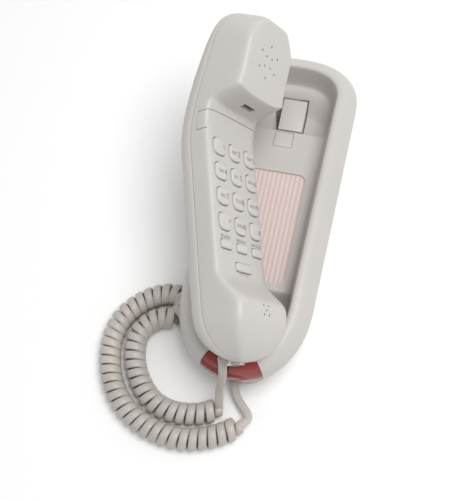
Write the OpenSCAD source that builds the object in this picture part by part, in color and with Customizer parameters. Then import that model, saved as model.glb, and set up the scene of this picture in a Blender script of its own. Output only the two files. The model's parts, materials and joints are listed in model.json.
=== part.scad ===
// Slimline wall phone: a boat-shaped base with a cradle, a keypad handset leaning out of
// the cradle, and a curly cord lying beside it. Millimetres, +Z out of the base's back.

/* [Base] */
// Length of the base from the outer rim at the mouth end to the outer rim at the ear end
base_len = 220.5; // [216:0.5:226]
// Half of the base's width at its middle
base_half = 41; // [39:0.5:43]
// Height of the rim's crest over the back face
rim_h = 44.2; // [42:0.1:47]
// Height of the flat cradle floor over the back face
cradle_z = 22; // [20:0.5:24]
// Wall thickness of the moulded shells
wall = 2.2; // [1.8:0.1:2.6]
// Distance between the two wall-plate studs
stud_pitch = 100; // [100:1:102]
// Width of the narrow end of each keyhole
key_slot_w = 4.4; // [4:0.1:5]

/* [Handset] */
// Half of the handset's width
grip_half = 25; // [24:0.5:26]
// How far a key travels when it is pressed
key_travel = 1; // [0.6:0.1:1.2]
// Distance between the columns of keys
key_col = 15.5; // [15:0.1:16]
// Distance between the rows of keys
key_row = 14.7; // [14:0.1:15]

/* [Cord] */
// Outer diameter of the curly part
coil_d = 13.6; // [13:0.1:14]
// Width of the flat lead
lead_w = 5; // [4.5:0.1:5.5]
// Thickness of the flat lead
lead_t = 2.4; // [2:0.1:2.6]

/* [Hidden] */
$fn = 48;

shell_grey = [0.82, 0.81, 0.79];
key_grey = [0.84, 0.83, 0.81];
cord_beige = [0.82, 0.79, 0.74];
lens_red = [0.62, 0.12, 0.12];
steel = [0.7, 0.7, 0.72];
black = [0.12, 0.12, 0.12];
gold = [0.75, 0.6, 0.25];
board_green = [0.15, 0.35, 0.2];
card_pink = [0.86, 0.74, 0.72];

function smooth(a, b, x) = let (t = max(0, min(1, (x - a) / (b - a)))) t * t * (3 - 2 * t);
function unit(v) = v / norm(v);

// ---------- the base's outline ----------
end_top = 112;
end_bottom = end_top - base_len;
top_start = 80;
bottom_start = -56;
top_power = 2.5;
bottom_power = 2.25;
top_rim = 0.89;
bottom_rim = 0.59;
lens_angle = 65;
step_y = 64;
well_y = -47;
edge = 0.25;
side_ys = [bottom_start, -52, well_y, -32, -16, 0, 16, 32, 48, step_y - edge, step_y + edge, 72,
    top_start];
bottom_angles = [80, lens_angle + edge, lens_angle - edge, 56, 46, 34, 22, 11];
top_angles = [11, 22, 34, 46, 58, 70, 80];
stations = concat([for (a = bottom_angles) [0, a]], [for (y = side_ys) [1, y]],
    [for (a = top_angles) [2, a]]);

function half_at(y) = base_half - 0.1 + 0.018 * y;
function bottom_point(a, d) =
    [(half_at(bottom_start) - d) * pow(cos(a), 2 / bottom_power),
     bottom_start - (bottom_start - end_bottom - d * bottom_rim) * pow(sin(a), 2 / bottom_power)];
function top_point(a, d) =
    [(half_at(top_start) - d) * pow(cos(a), 2 / top_power),
     top_start + (end_top - top_start - d * top_rim) * pow(sin(a), 2 / top_power)];
function side_point(s, d) = s[0] == 0 ? bottom_point(s[1], d)
    : s[0] == 1 ? [half_at(s[1]) - d, s[1]] : top_point(s[1], d);
// every station round the outline: bottom centre, right side, top centre, left side
loop = concat([[0, 90, 1]], [for (s = stations) [s[0], s[1], 1]], [[2, 90, 1]],
    [for (i = [len(stations) - 1:-1:0]) [stations[i][0], stations[i][1], -1]]);
function loop_point(s, d) = let (p = side_point(s, d)) [s[1] == 90 && s[0] != 1 ? 0 : s[2] * p[0], p[1]];
function outline(d) = [for (s = loop) loop_point(s, d)];

// ---------- the base's section: [inset, height] ----------
outer_section = [[9.5, 0], [8.4, 5], [6.5, 10], [3.5, 18], [1, 25], [0, 30.5], [0.9, 35.5], [3.5, 40],
    [7, rim_h - 1], [10.2, rim_h], [12.4, rim_h - 0.4]];
wall_section = [[13.5, 42.4], [14.2, 38], [14.9, 33], [15.5, 28.5], [16.2, 25], [17.2, 22.9],
    [19.2, cradle_z]];
under_section = [[11.7, 0], [10.6, 5], [8.8, 10.6], [5.8, 18.8], [3.3, 25.5], [2.3, 30.5], [3, 34.5],
    [5, 38.2], [7.6, rim_h - 3.1], [9.6, rim_h - 2.3], [11, rim_h - 3.2], [11.7, 37.6], [12.4, 32.6],
    [12.9, 27], [13.6, 23.2], [15.4, 20.6], [19, cradle_z - wall]];
rim_core = [10, 28];
lens_t = 2;
lens_low = 2;
lens_last = len(outer_section) - 1;
wall_top = 33;

function floor_z(y) = y > step_y ? 14 + 12 * smooth(80, 97, y)
    : y > well_y ? cradle_z : cradle_z - 8 * smooth(well_y, -54, y);
function in_lens(s) = s[0] == 0 && s[1] > lens_angle;
function shrink(p, t) = p + unit(rim_core - p) * t;
// below the top of the cradle wall, heights stretch down to the floor at that place
function sink(z, low, y) = z >= wall_top ? z
    : let (f = floor_z(y) - (cradle_z - low)) f + (z - low) * (wall_top - f) / (wall_top - low);
function ring_point(s, p, low) = let (q = loop_point(s, p[0])) [q[0], q[1], sink(p[1], low, q[1])];
function plain_point(s, p) = let (q = loop_point(s, p[0])) [q[0], q[1], p[1]];
function lens_cut(s, i) = in_lens(s) && i >= lens_low && i <= lens_last;
function upper_ring(i) = [for (s = loop) i <= lens_last
    ? plain_point(s, lens_cut(s, i) ? shrink(outer_section[i], lens_t) : outer_section[i])
    : ring_point(s, wall_section[i - lens_last - 1], cradle_z)];
function under_ring(i) = [for (s = loop) i <= lens_last
    ? plain_point(s, lens_cut(s, i) ? shrink(under_section[i], lens_t) : under_section[i])
    : ring_point(s, under_section[i], cradle_z - wall)];

// faces between rings of m points, each ring following the last
function band(first, m, flip) = [for (j = [0:m - 1]) let (a = first + j, b = first + (j + 1) % m,
    c = b + m, d = a + m) each flip ? [[a, c, b], [a, d, c]] : [[a, b, c], [a, c, d]]];
// strips across a ring whose right and left points pair up
function across(first, m, flip) = let (h = m / 2) [for (j = [0:h - 1])
    let (r0 = first + j, r1 = first + j + 1, l0 = first + (m - j) % m, l1 = first + m - j - 1)
    each concat(j == 0 ? [] : [flip ? [r0, l0, r1] : [r0, r1, l0]],
        j == h - 1 ? [] : [flip ? [l0, l1, r1] : [l0, r1, l1]])];

module housing_shell() {
    m = len(loop);
    n_up = lens_last + 1 + len(wall_section);
    n_down = len(under_section);
    points = concat([for (i = [0:n_up - 1]) each upper_ring(i)],
        [for (i = [0:n_down - 1]) each under_ring(i)]);
    under = n_up * m;
    faces = concat([for (i = [0:n_up - 2]) each band(i * m, m, true)],
        across((n_up - 1) * m, m, true),
        [for (i = [0:n_down - 2]) each band(under + i * m, m, false)],
        across(under + (n_down - 1) * m, m, false),
        [for (j = [0:m - 1]) let (a = j, b = (j + 1) % m, c = under + b, d = under + a)
            each [[a, b, c], [a, c, d]]]);
    polyhedron(points, faces, convexity = 6);
}

// ---------- places in the base ----------
lever_x = [-6.1, 9.7];
lever_y = [64.8, 88];
// the opening round the lever, wider on its left towards the ear end
lever_gap = [[-7, 64.6], [10.3, 64.6], [10.3, 89.8], [-12.8, 89.8]];
pin_y = 68;
pin_z = 8;
pin_r = 1.5;
tab_size = [12, 10.6, 9];
tab_at = [-1, 57.4, 16];
label_size = [37, 76.2];
label_y = -4.8;
label_r = 5;
plate_t = 2.4;
keyhole_r = 4.6;
plug_size = [7.7, 12, 6.6];
base_plug_y = -101;
base_plug_z = 2.9;
exit_w = 8.2;
foot_x = 20;
foot_y = 72;
foot_r = 5;
foot_h = 0.8;
foot_pocket = 1;
table = -foot_h;
// screws pass the plate into posts under the cradle floor
base_screws_at = [for (x = [-22.5, 22.5], y = [-30, 30]) [x, y]];
post_r = 3;
screw_r = 1.5;
head_r = 2.7;
head_h = 1.4;
line_x = 0;
line_y = 12;
board_z = 8;
board_pins_at = [for (x = [-14.5, 14.5], y = [-38, 38]) [x, y]];
pin_fit = 0.08;

module rounded_plate(size, r, h) {
    linear_extrude(height = h)
        union() {
            square([size[0] - 2 * r, size[1]], center = true);
            square([size[0], size[1] - 2 * r], center = true);
            for (x = [-1, 1], y = [-1, 1])
                translate([x * (size[0] / 2 - r), y * (size[1] / 2 - r)])
                    circle(r = r);
        }
}

module base_housing() {
    color(shell_grey)
        difference() {
            union() {
                housing_shell();
                for (p = base_screws_at)
                    translate([p[0], p[1], plate_t + 0.1])
                        cylinder(r = post_r, h = 19);
            }
            translate([0, 0, plate_t + 1])
                linear_extrude(height = 26)
                    polygon(lever_gap);
            for (p = base_screws_at)
                translate([p[0], p[1], 0])
                    cylinder(r = screw_r + pin_fit, h = 12);
            translate([tab_at[0] - tab_size[0] / 2 - 0.4, tab_at[1] - tab_size[1] / 2 - 0.4, 15])
                cube([tab_size[0] + 0.8, tab_size[1] + 0.8, 10]);
            translate([-label_size[0] / 2 - 0.2, label_y - label_size[1] / 2 - 0.2, cradle_z - 1.4])
                cube([label_size[0] + 0.4, label_size[1] + 0.4, 4]);
            translate([-exit_w / 2, end_bottom - 1, -1])
                cube([exit_w, 14, 8.4]);
        }
}

function section_ring(s, t) = [for (i = [lens_low:lens_last]) plain_point(s, shrink(outer_section[i], t))];

module message_lens() {
    half = [for (s = stations) if (in_lens([0, s[1], 1]) && s[0] == 0) s[1]];
    // from the left end of the lens, over the middle, to its right end
    row = concat([for (i = [len(half) - 1:-1:0]) [0, half[i], -1]], [[0, 90, 1]], [for (a = half) [0, a, 1]]);
    n = len(row);
    k = lens_last - lens_low + 1;
    points = concat([for (s = row) each section_ring(s, 0)],
        [for (s = row) each section_ring(s, lens_t - 0.1)]);
    inner = n * k;
    faces = concat(
        [for (i = [0:n - 2], j = [0:k - 2]) let (a = i * k + j, b = a + 1, c = b + k, d = a + k)
            each [[a, b, c], [a, c, d]]],
        [for (i = [0:n - 2], j = [0:k - 2]) let (a = inner + i * k + j, b = a + 1, c = b + k, d = a + k)
            each [[a, c, b], [a, d, c]]],
        [for (i = [0:n - 2]) let (a = i * k, b = a + k)
            each [[a, b, inner + b], [a, inner + b, inner + a]]],
        [for (i = [0:n - 2]) let (a = i * k + k - 1, b = a + k)
            each [[a, inner + b, b], [a, inner + a, inner + b]]],
        [for (j = [0:k - 2]) each [[j, inner + j + 1, j + 1], [j, inner + j, inner + j + 1]]],
        [for (j = [0:k - 2]) let (a = (n - 1) * k + j)
            each [[a, a + 1, inner + a + 1], [a, inner + a + 1, inner + a]]]);
    color(lens_red)
        polyhedron(points, faces, convexity = 4);
}

module base_plate() {
    color(shell_grey)
        difference() {
            union() {
                linear_extrude(height = plate_t)
                    polygon(outline(11.9));
                for (p = board_pins_at)
                    translate([p[0], p[1], 0]) {
                        cylinder(r = 2.6, h = board_z - 0.02);
                        cylinder(r = 1.4, h = board_z + 1.4);
                    }
            }
            for (y = [-1, 1] * stud_pitch / 2) {
                translate([0, y, -1])
                    cylinder(r = key_slot_w / 2, h = plate_t + 2);
                translate([0, y - 8, -1])
                    cylinder(r = keyhole_r, h = plate_t + 2);
                translate([-1.4, y - 8, -1])
                    cube([2.8, 8, plate_t + 2]);
            }
            for (x = [-1, 1], y = [-1, 1])
                translate([x * foot_x, y * foot_y, -1])
                    cylinder(r = foot_r, h = 1 + foot_pocket);
            for (p = base_screws_at) {
                translate([p[0], p[1], -1])
                    cylinder(r = screw_r + pin_fit, h = plate_t + 2);
                translate([p[0], p[1], -1])
                    cylinder(r = head_r + 0.2, h = head_h + 1.2);
            }
            translate([line_x - 7.1, line_y - 7.1, -1])
                cube([14.2, 14.2, plate_t + 2]);
            translate([-exit_w / 2, end_bottom, -1])
                cube([exit_w, 14, plate_t + 2]);
        }
}

module rubber_feet() {
    color(black)
        for (x = [-1, 1], y = [-1, 1])
            translate([x * foot_x, y * foot_y, table])
                cylinder(r = foot_r - 0.05, h = foot_h + foot_pocket);
}

module pan_screw(length) {
    difference() {
        cylinder(r = head_r, h = head_h);
        for (a = [0, 90])
            rotate([0, 0, a])
                translate([-1.5, -0.35, -1])
                    cube([3, 0.7, 1.7]);
    }
    translate([0, 0, head_h])
        cylinder(r = screw_r, h = length);
}

module base_screws() {
    color(steel)
        for (p = base_screws_at)
            translate([p[0], p[1], 0.2])
                pan_screw(9);
}

module message_lamp() {
    color(lens_red)
        translate([0, end_bottom + 5.5, 24])
            union() {
                cylinder(r = 1.4, h = 4.6);
                translate([0, 0, 4.6])
                    sphere(r = 1.4);
                translate([0, 0, -1])
                    cylinder(r = 1.6, h = 1);
            }
}

module base_circuit_board() {
    color(board_green)
        difference() {
            translate([-18, -44, board_z])
                cube([36, 88, 1.6]);
            for (p = board_pins_at)
                translate([p[0], p[1], board_z - 1])
                    cylinder(r = 1.4 + pin_fit, h = 4);
        }
}

module ringer() {
    color(black)
        translate([0, -20, board_z + 1.7])
            difference() {
                cylinder(r = 12, h = 6);
                translate([0, 0, 5])
                    cylinder(r = 2, h = 2);
            }
}

module jack(cavity) {
    difference() {
        translate([-7, -7, 0])
            cube([14, 14, 7.8]);
        translate([-cavity[0] / 2, -cavity[1] / 2, -1])
            cube([cavity[0], cavity[1], 7.6]);
    }
}

module line_jack() {
    color(black)
        translate([line_x, line_y, 0.1])
            jack([7.9, 7]);
}

module base_handset_jack() {
    color(black)
        difference() {
            translate([-6.5, base_plug_y + 3, plate_t + 0.1])
                cube([13, 15, 9]);
            translate([-plug_size[0] / 2 - 0.1, base_plug_y + 2, base_plug_z - 0.1])
                cube([plug_size[0] + 0.2, plug_size[1], plug_size[2] + 0.2]);
        }
}

module plug_body() {
    difference() {
        cube(plug_size);
        translate([1.2, plug_size[1] - 5, plug_size[2] - 1])
            cube([plug_size[0] - 2.4, 6, 2]);
    }
}

module base_plug() {
    color("gainsboro")
        translate([-plug_size[0] / 2, base_plug_y, base_plug_z])
            plug_body();
}

// ---------- hook switch ----------
bracket_x = [-11.5, 12.7];

module hook_bracket() {
    color(shell_grey)
        difference() {
            union() {
                for (x = bracket_x)
                    translate([x - 1, pin_y - 4, plate_t + 0.1])
                        cube([2, 8, pin_z + 3 - plate_t - 0.1]);
                translate([bracket_x[0] + 0.5, pin_y - 4, plate_t + 0.1])
                    cube([bracket_x[1] - bracket_x[0] - 1, 8, 1.5]);
            }
            translate([bracket_x[0] - 3, pin_y, pin_z])
                rotate([0, 90, 0])
                    cylinder(r = pin_r, h = 32);
        }
}

module hook_pin() {
    color(steel)
        translate([bracket_x[0] - 1.5, pin_y, pin_z])
            rotate([0, 90, 0])
                cylinder(r = pin_r, h = bracket_x[1] - bracket_x[0] + 3);
}

module hook_spring() {
    color(steel)
        for (i = [0:2])
            translate([bracket_x[0] + 1.8 + i * 0.85, pin_y, pin_z])
                rotate([0, 90, 0])
                    rotate_extrude()
                        translate([2.2, 0])
                            circle(r = 0.35, $fn = 16);
}

module hook_switch() {
    color(black)
        translate([-6, 84, plate_t + 0.1])
            union() {
                cube([12, 7, 4]);
                translate([5, 2, 4])
                    cube([2, 2, 4.4]);
            }
}

module hook_lever() {
    paddle = [[lever_y[0], cradle_z + 0.2], [lever_y[1] - 1.5, cradle_z + 2.6], [lever_y[1], cradle_z + 1.2],
        [lever_y[1], 15], [lever_y[1] - 2, 13], [pin_y + 3, pin_z + 3], [lever_y[0] + 0.6, pin_z + 1]];
    color(shell_grey)
        difference() {
            union() {
                translate([lever_x[0], 0, 0])
                    rotate([90, 0, 90])
                        linear_extrude(height = lever_x[1] - lever_x[0])
                            polygon(paddle);
                translate([lever_x[0], pin_y, pin_z])
                    rotate([0, 90, 0])
                        cylinder(r = 3.2, h = lever_x[1] - lever_x[0]);
            }
            translate([lever_x[0] - 1, pin_y, pin_z])
                rotate([0, 90, 0])
                    cylinder(r = pin_r + 0.06, h = lever_x[1] - lever_x[0] + 2);
        }
}

module hang_tab() {
    color(shell_grey)
        translate([tab_at[0], tab_at[1], tab_at[2] - 3])
            union() {
                rounded_plate([tab_size[0], tab_size[1]], 1, tab_size[2]);
                translate([-tab_size[0] / 2, 2, 0])
                    cube([tab_size[0], tab_size[1] / 2 - 2, 1.2]);
            }
}

module label_card() {
    color(card_pink)
        translate([0, label_y, cradle_z - 1.3])
            rounded_plate(label_size, label_r, 0.3);
}

module label_window() {
    color([0.9, 0.92, 0.95, 0.3])
        translate([0, label_y, cradle_z - 0.95])
            rounded_plate(label_size, label_r, 0.8);
}

// ---------- the handset, in its own u (across), v (along), w (out of the face) ----------
hand_at = [-12.4, -18.3, 75.4];
// turned to the left of the base, ear end raised, and its face leaning to the right
turn = 16.2;
tilt = 8.9;
lean = 58.8;
hand_v = [-91, 110];
front_power = [8, 16, 9];
back_power = 2.7;
seam_w = -13;
seam_gap = 0.15;
shell_scale = 1 - wall / 13;

module in_handset() {
    translate(hand_at)
        rotate([0, 0, turn])
            rotate([tilt, 0, 0])
                rotate([0, lean, 0])
                    children();
}
function root(x, p) = pow(max(0, x), 1 / p);
function ends(v, top, bottom, power) = root(1 - pow(max(0, v - hand_v[1] + top) / top, power), 2.2)
    * root(1 - pow(max(0, hand_v[0] + bottom - v) / bottom, power), 2.2);
function grip_at(v) = grip_half * ends(v, 27, 25, 2.25);
function seam_at(v) = seam_w + 0.58 * (norm([max(v - 30, 0), 30]) - 30) + 7 * pow(max(0, -62 - v) / 28, 2);
function back_at(v) = -13 * root(1 - pow(max(0, v - 72) / 38, 2), 2)
    * root(1 - pow(max(0, -66 - v) / 25, 2.2), 2);
// the receiver cap's lower edge is part of a squarish oval, and grid rows near it follow its curve
cap_v = 78;
cap_reach = 23.3;
cap_width = 31.5;
cap_power = 3.2;
neck_foot = 7.5;
function cap_edge(u) = cap_v - cap_reach * root(1 - pow(abs(u) / cap_width, cap_power), cap_power);
function bend(u, v) = (cap_edge(u) - cap_edge(0)) * (smooth(36, 50, v) - smooth(60, 84, v));
function past_cap(u, v) = cap_reach
    * (root(pow(abs(u) / cap_width, cap_power) + pow(max(0, cap_v - v) / cap_reach, cap_power),
        cap_power) - 1);
// the ear end's wall bows out most a little above the parting line
function bow(v, w) = smooth(70, 104, v) * (5.4 - 0.52 * sqrt(pow(w - 9, 2) + 25));
function cap_height(v, n) = ear_w + 0.36 * (v - 77 + (n == 0 ? 0 : bow(v, cap_height(v, n - 1))));
// a steep neck below the cap, with a hollow foot running out on to the face
function neck(u, v, back) = let (e = past_cap(u, v - back))
    (cap_height(v, 3) - neck_foot) * (1 - smooth(-0.8, 2.4, e))
    + neck_foot * exp(-max(0, e) / 4.2) * (1 - smooth(9, 16, e));
function face_at(u, v, back) = 13 * smooth(-43, -64, v) + neck(u, v, back);
function front_at(u, v, back) = (face_at(u, v, back) - seam_at(v))
    * root(1 - pow(max(0, v - 105) / 5, 2.4), 2.4) * root(1 - pow(max(0, -63 - v) / 28, 2.2), 2);
// the inner skin is the outer one scaled about the parting line and drawn in at both ends
function along(v, k) = k == 1 ? v
    : v + 2.5 * (1 - smooth(hand_v[0], -60, v)) - 2.5 * smooth(80, hand_v[1], v);
function signed_pow(x, p) = sign(x) * pow(abs(x), p);
function across_at(v, a, p) = grip_at(v) * signed_pow(cos(a), 2 / p);
function front_point(u, v, up, k) =
    let (vv = v + bend(u, v), w = seam_at(vv) + front_at(u, vv, k == 1 ? 0 : 3) * up * k)
        [u * k, along(vv, k) + bow(v, w), w];
// the sides lean in and the edge gets crisper towards the receiver cap
function lean_in(v, up) = 1 - 0.09 * up * smooth(48, 66, v);
function front_power_at(v) = front_power[0] + (front_power[1] - front_power[0]) * smooth(44, 62, v)
    + (front_power[2] - front_power[1]) * smooth(84, 104, v);
function front_ring(v, m, k) = let (p = front_power_at(v))
    [for (j = [0:m]) let (a = 180 * j / m, up = pow(sin(a), 2 / p))
        front_point(across_at(v, a, p) * lean_in(v, up), v, up, k)];
function back_point(u, v, up, k) =
    let (w = seam_at(v) - seam_gap + back_at(v) * up * k) [u * k, along(v, k) + bow(v, w), w];
function back_ring(v, m, k) = [for (j = [0:m]) let (a = 180 * j / m)
    back_point(across_at(v, a, back_power), v, pow(sin(a), 2 / back_power), k)];
hand_vs = concat([for (a = [12:13:77]) hand_v[0] + 25 * (1 - cos(a))], [-66, -62, -58, -54, -50, -46, -42],
    [for (v = [-30:14:26]) v], [36, 42, 46, 49, 51.5, 53.5, 54.7, 55.7, 56.7, 58, 60, 64, 70, 76, 82],
    [for (a = [80:-10:10]) hand_v[1] - 27 * (1 - cos(a))]);

// a half shell: outer rows, inner rows, a pole at each end, and the edge between them
module half_shell(outer, inner, poles) {
    n = len(outer);
    m = len(outer[0]);
    size = n * m;
    points = concat([for (r = outer) each r], [for (r = inner) each r], poles);
    grid = [for (i = [0:n - 2], j = [0:m - 2]) let (a = i * m + j)
        each [[a, a + m, a + m + 1], [a, a + m + 1, a + 1]]];
    caps = [for (j = [0:m - 2])
        each [[2 * size, j, j + 1], [2 * size + 1, size - m + j + 1, size - m + j]]];
    inner_grid = [for (f = grid) [f[0] + size, f[2] + size, f[1] + size]];
    inner_caps = [for (j = [0:m - 2]) each [[2 * size + 2, size + j + 1, size + j],
        [2 * size + 3, 2 * size - m + j, 2 * size - m + j + 1]]];
    rails = [for (i = [0:n - 2]) let (a = i * m, b = a + m, c = a + m - 1, d = b + m - 1)
        each [[a, size + a, size + b], [a, size + b, b], [c, size + d, size + c], [c, d, size + d]]];
    tips = let (e = size - m, f = size - 1) [
        [2 * size, 2 * size + 2, size], [2 * size, size, 0],
        [2 * size, m - 1, size + m - 1], [2 * size, size + m - 1, 2 * size + 2],
        [2 * size + 1, size + e, 2 * size + 3], [2 * size + 1, e, size + e],
        [2 * size + 1, size + f, f], [2 * size + 1, 2 * size + 3, size + f]];
    polyhedron(points, concat(grid, caps, inner_grid, inner_caps, rails, tips), convexity = 6);
}
function pole(v, k, drop) = let (w = seam_at(v) - drop) [0, along(v, k) + bow(v, w), w];

key_size = [11, 10];
key_r = 3.4;
fn_size = [10, 5];
reset_size = [15, 5];
first_row_v = 29;
fn_row_v = first_row_v - 3 * key_row - 13;
reset_v = fn_row_v - 11.2;
key_top = 1.3;
key_bottom = -2.4;
key_clear = 0.4;

function key_at(i) = [(i % 3 - 1) * key_col, first_row_v - floor(i / 3) * key_row];
function fn_at(i) = [(i - 1) * key_col, fn_row_v];

module key_cap(at, size, r) {
    color(key_grey)
        in_handset()
            translate([at[0], at[1], key_bottom])
                rounded_plate(size, r, key_top - key_bottom);
}
module key_hole(at, size, r) {
    translate([at[0], at[1], -6])
        rounded_plate([size[0] + 2 * key_clear, size[1] + 2 * key_clear], r + key_clear, 9);
}

plate_v = [38.6, 49.2];
plate_half = 20;
slot_size = [11.5, 5];
slot_v = 53;
slot_w = 9.5;
ear_u = -2;
ear_v = 77;
ear_w = 29.6;
ear_tilt = atan(0.36);
mouth_v = -65;
hand_plug_v = -92;
hand_plug_w = -10;
hand_screws_v = [-34, 28];
hand_screw_w = -26;
ear_ring = 9.2;
hole_r = 0.7;

module ear_holes() {
    translate([ear_u, ear_v, ear_w])
        rotate([ear_tilt, 0, 0]) {
            for (a = [30:60:330])
                rotate([0, 0, a])
                    translate([ear_ring, 0, -12])
                        cylinder(r = hole_r, h = 16, $fn = 16);
            for (a = [45:90:315])
                rotate([0, 0, a])
                    translate([ear_ring * 0.42, 0, -12])
                        cylinder(r = hole_r, h = 16, $fn = 16);
        }
}
module mouth_holes() {
    for (p = [[-2.5, 2.5], [2.5, 2.5], [0, 0], [-2.5, -2.5], [2.5, -2.5]])
        translate([p[0], mouth_v + p[1], 4])
            cylinder(r = hole_r, h = 14, $fn = 16);
}
module plug_way(clear) {
    translate([-plug_size[0] / 2 - clear, hand_plug_v - 4, hand_plug_w - plug_size[2] / 2 - clear])
        cube([plug_size[0] + 2 * clear, 18, plug_size[2] + 2 * clear]);
}
module handset_front_shell() {
    outer = [for (v = hand_vs) front_ring(v, 24, 1)];
    inner = [for (v = hand_vs) front_ring(v, 24, shell_scale)];
    poles = [pole(hand_v[0], 1, 0), pole(hand_v[1], 1, 0), pole(hand_v[0], 0, 0), pole(hand_v[1], 0, 0)];
    color(shell_grey)
        in_handset()
            difference() {
                half_shell(outer, inner, poles);
                for (i = [0:11])
                    key_hole(key_at(i), key_size, key_r);
                for (i = [0:2])
                    key_hole(fn_at(i), fn_size, 1.6);
                key_hole([0, reset_v], reset_size, 1.6);
                translate([-plate_half, plate_v[0], -1.3])
                    cube([2 * plate_half, plate_v[1] - plate_v[0], 8]);
                translate([-slot_size[0] / 2, slot_v - 4, slot_w])
                    cube([slot_size[0], 12, 4]);
                ear_holes();
                mouth_holes();
                plug_way(0.3);
            }
}

module handset_back_shell() {
    outer = [for (v = hand_vs) back_ring(v, 14, 1)];
    inner = [for (v = hand_vs) back_ring(v, 14, shell_scale)];
    poles = [pole(hand_v[0], 1, seam_gap), pole(hand_v[1], 1, seam_gap), pole(hand_v[0], 0, seam_gap),
        pole(hand_v[1], 0, seam_gap)];
    color(shell_grey)
        in_handset()
            difference() {
                half_shell([for (r = outer) reverse(r)], [for (r = inner) reverse(r)], poles);
                for (v = hand_screws_v) {
                    translate([0, v, hand_screw_w - 4])
                        cylinder(r = head_r + 0.2, h = 4 + head_h);
                    translate([0, v, hand_screw_w])
                        cylinder(r = screw_r + pin_fit, h = 6);
                }
                plug_way(0.3);
            }
}
function reverse(list) = [for (i = [len(list) - 1:-1:0]) list[i]];

module name_plate() {
    color(shell_grey)
        in_handset()
            translate([0, (plate_v[0] + plate_v[1]) / 2, -1.2])
                rounded_plate([2 * plate_half - 0.4, plate_v[1] - plate_v[0] - 0.4], 0.6, 1.2);
}
module key_membrane() {
    color("dimgray")
        in_handset()
            translate([0, -5, -5.6])
                rounded_plate([38, 86], 2, 1.8);
}
module handset_board() {
    color(board_green)
        in_handset()
            translate([0, 0, -7.5])
                rounded_plate([37, 112], 2, 1.6);
}
module receiver_capsule() {
    color(black)
        in_handset()
            translate([ear_u, ear_v, ear_w])
                rotate([ear_tilt, 0, 0])
                    translate([0, 0, -16])
                        union() {
                            cylinder(r = 13, h = 6);
                            translate([0, 0, 6])
                                cylinder(r = 10, h = 2);
                        }
}
module mic_capsule() {
    color(black)
        in_handset()
            translate([0, mouth_v, -2])
                cylinder(r = 4.8, h = 5.5);
}
module handset_jack() {
    color(black)
        in_handset()
            difference() {
                translate([-6, hand_plug_v + 8.5, hand_plug_w - 4.6])
                    cube([12, 11.5, 9.2]);
                plug_way(0.1);
            }
}
module handset_screws() {
    color(steel)
        in_handset()
            for (v = hand_screws_v)
                translate([0, v, hand_screw_w])
                    pan_screw(12);
}
module handset_plug() {
    color("gainsboro")
        in_handset()
            translate([-plug_size[0] / 2, hand_plug_v, hand_plug_w - plug_size[2] / 2])
                plug_body();
}

// ---------- the cord ----------
coil_z = table + coil_d / 2;
inner_run = [[-5, -121.5], [-14, -126.5], [-25, -129], [-36, -128.5], [-46, -124.5], [-54.5, -116.5],
    [-60.5, -107], [-64, -96], [-64, -86], [-59.5, -78], [-52.5, -73], [-46, -71.5]];
far_turn = [[-42.5, -69], [-41, -64], [-42, -59]];
outer_run = [[-46.5, -56.5], [-54, -57.5], [-63, -62], [-71.5, -70], [-77.5, -80], [-79.5, -92],
    [-78, -104], [-74, -115], [-67.5, -125.5], [-58.5, -134], [-47.5, -140], [-36, -143], [-24, -144],
    [-12, -141.5], [-1, -136.5], [9, -129.5]];
coil_route = [for (p = concat(inner_run, far_turn, outer_run)) [p[0], p[1], coil_z]];
handset_lead_route = [[-4.6, -102.4, 50.6], [-3.6, -106, 47.4], [-3.2, -109.6, 41], [-4, -112.2, 33],
    [-5, -114.4, 25], [-5.3, -116.6, 18], [-5.2, -118, 13.5]];
base_lead_route = [[0, -101.6, 6], [0.8, -106, 5], [3, -111, 4.2], [7, -116, 4.4], [11.5, -120.5, 5.4],
    [13, -124.5, 6.2], [9.6, -129, 6]];

function route_dir(r, i) = unit(r[min(i + 1, len(r) - 1)] - r[max(i - 1, 0)]);
function sweep_ring(r, i, w, t) =
    let (d = route_dir(r, i), s = unit(cross(d, [0.02, 0.05, 1])), n = cross(s, d))
    [for (a = [0:45:315]) r[i] + s * cos(a) * w / 2 + n * sin(a) * t / 2];
module sweep(r, w, t) {
    n = len(r);
    points = [for (i = [0:n - 1]) each sweep_ring(r, i, w, t)];
    faces = concat([[for (j = [0:7]) j]], [[for (j = [7:-1:0]) (n - 1) * 8 + j]],
        [for (i = [0:n - 2]) each band(i * 8, 8, true)]);
    polyhedron(points, faces, convexity = 10);
}
module curly_cord() {
    color(cord_beige)
        sweep(coil_route, coil_d, coil_d);
}
module handset_lead() {
    color(cord_beige)
        sweep(handset_lead_route, lead_w, lead_t);
}
module base_lead() {
    color(cord_beige)
        sweep(base_lead_route, lead_w, lead_t);
}

base_housing();
base_plate();
rubber_feet();
base_screws();
message_lens();
message_lamp();
base_circuit_board();
ringer();
line_jack();
base_handset_jack();
hook_bracket();
hook_pin();
hook_spring();
hook_switch();
hook_lever();
hang_tab();
label_card();
label_window();
handset_front_shell();
handset_back_shell();
name_plate();
key_membrane();
handset_board();
receiver_capsule();
mic_capsule();
handset_jack();
handset_screws();
key_cap(key_at(0), key_size, key_r);  // key_1
key_cap(key_at(1), key_size, key_r);  // key_2
key_cap(key_at(2), key_size, key_r);  // key_3
key_cap(key_at(3), key_size, key_r);  // key_4
key_cap(key_at(4), key_size, key_r);  // key_5
key_cap(key_at(5), key_size, key_r);  // key_6
key_cap(key_at(6), key_size, key_r);  // key_7
key_cap(key_at(7), key_size, key_r);  // key_8
key_cap(key_at(8), key_size, key_r);  // key_9
key_cap(key_at(9), key_size, key_r);  // key_star
key_cap(key_at(10), key_size, key_r);  // key_0
key_cap(key_at(11), key_size, key_r);  // key_pound
key_cap(fn_at(0), fn_size, 1.6);  // key_flash
key_cap(fn_at(1), fn_size, 1.6);  // key_redial
key_cap(fn_at(2), fn_size, 1.6);  // key_volume
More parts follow.
